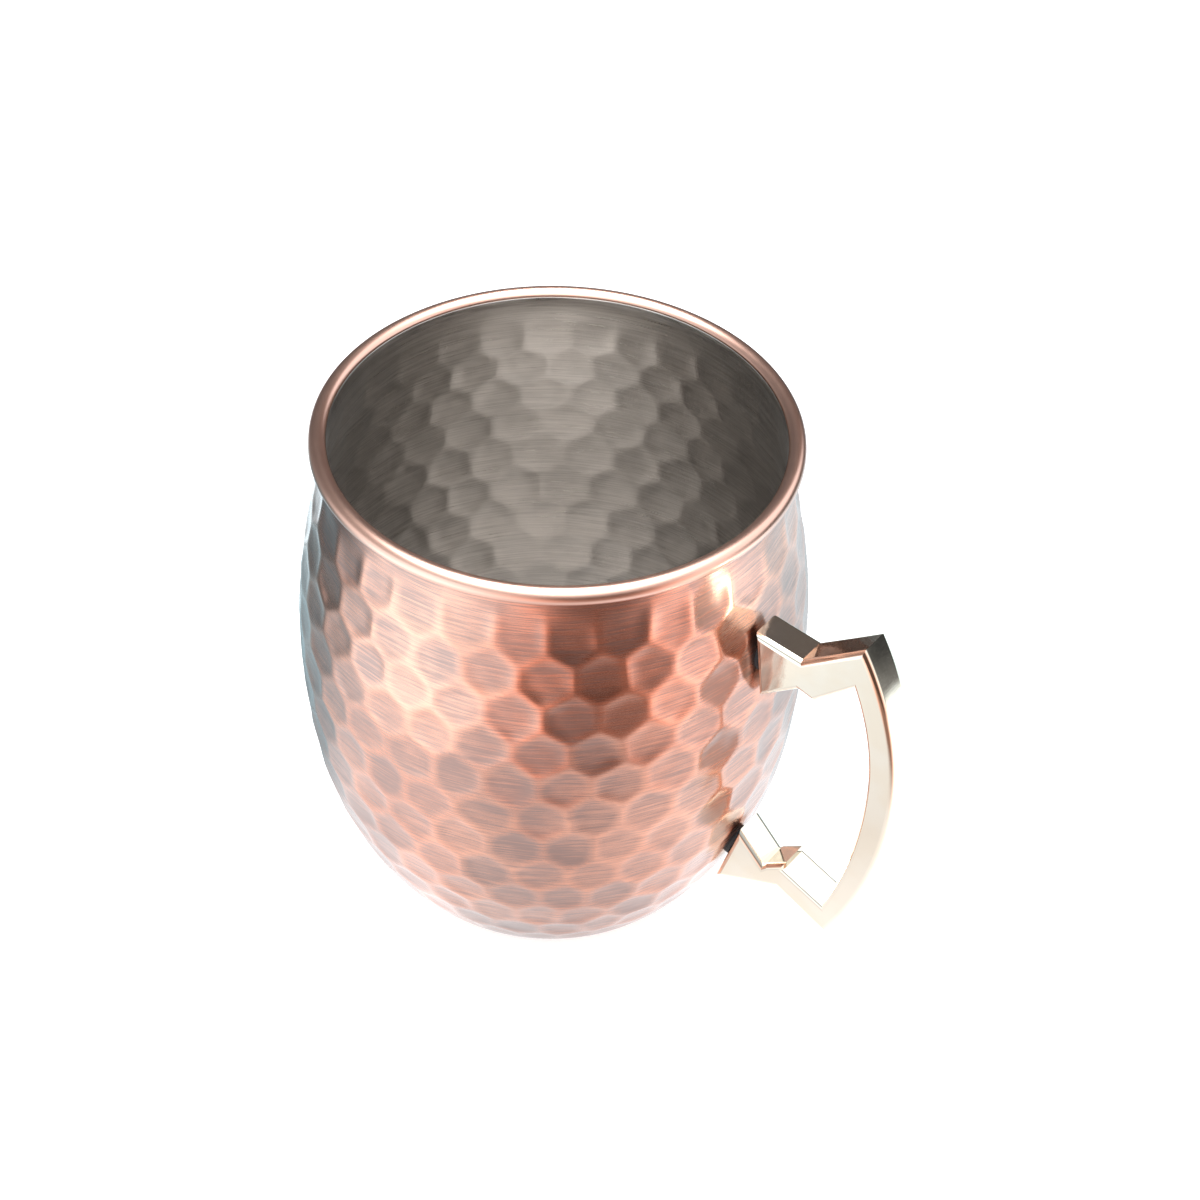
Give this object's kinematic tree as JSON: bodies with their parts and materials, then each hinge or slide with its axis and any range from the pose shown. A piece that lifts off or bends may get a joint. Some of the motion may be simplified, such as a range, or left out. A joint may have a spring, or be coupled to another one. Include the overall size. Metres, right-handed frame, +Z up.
{
  "type": "hammered copper mug",
  "caption": "Barrel-shaped drinking mug with a honeycomb-hammered copper shell, steel lining, rolled rim and angular cast handle.",
  "frame": {"origin": "centre of the foot ring, in the plane that the mug stands on, on the cup's axis", "axes": "+Z up along the cup's axis, +X outwards through the middle of the handle"},
  "size_m": [0.1198, 0.0914, 0.0974],
  "materials": {
    "copper": "brushed, antiqued copper with a clear lacquer",
    "brushed_steel": "brushed round the cup",
    "pale_gold": "polished pale gold plate",
    "dark_rubber": "matte",
    "screw_steel": "satin",
    "seal_silicone": "matte"
  },
  "bodies": {
    "root": {"copper_shell": "copper", "steel_liner": "brushed_steel", "handle": "pale_gold", "upper_spacer": "dark_rubber", "lower_spacer": "dark_rubber", "upper_screw": "screw_steel", "lower_screw": "screw_steel", "upper_seal": "seal_silicone", "lower_seal": "seal_silicone"}
  },
  "joints": []
}
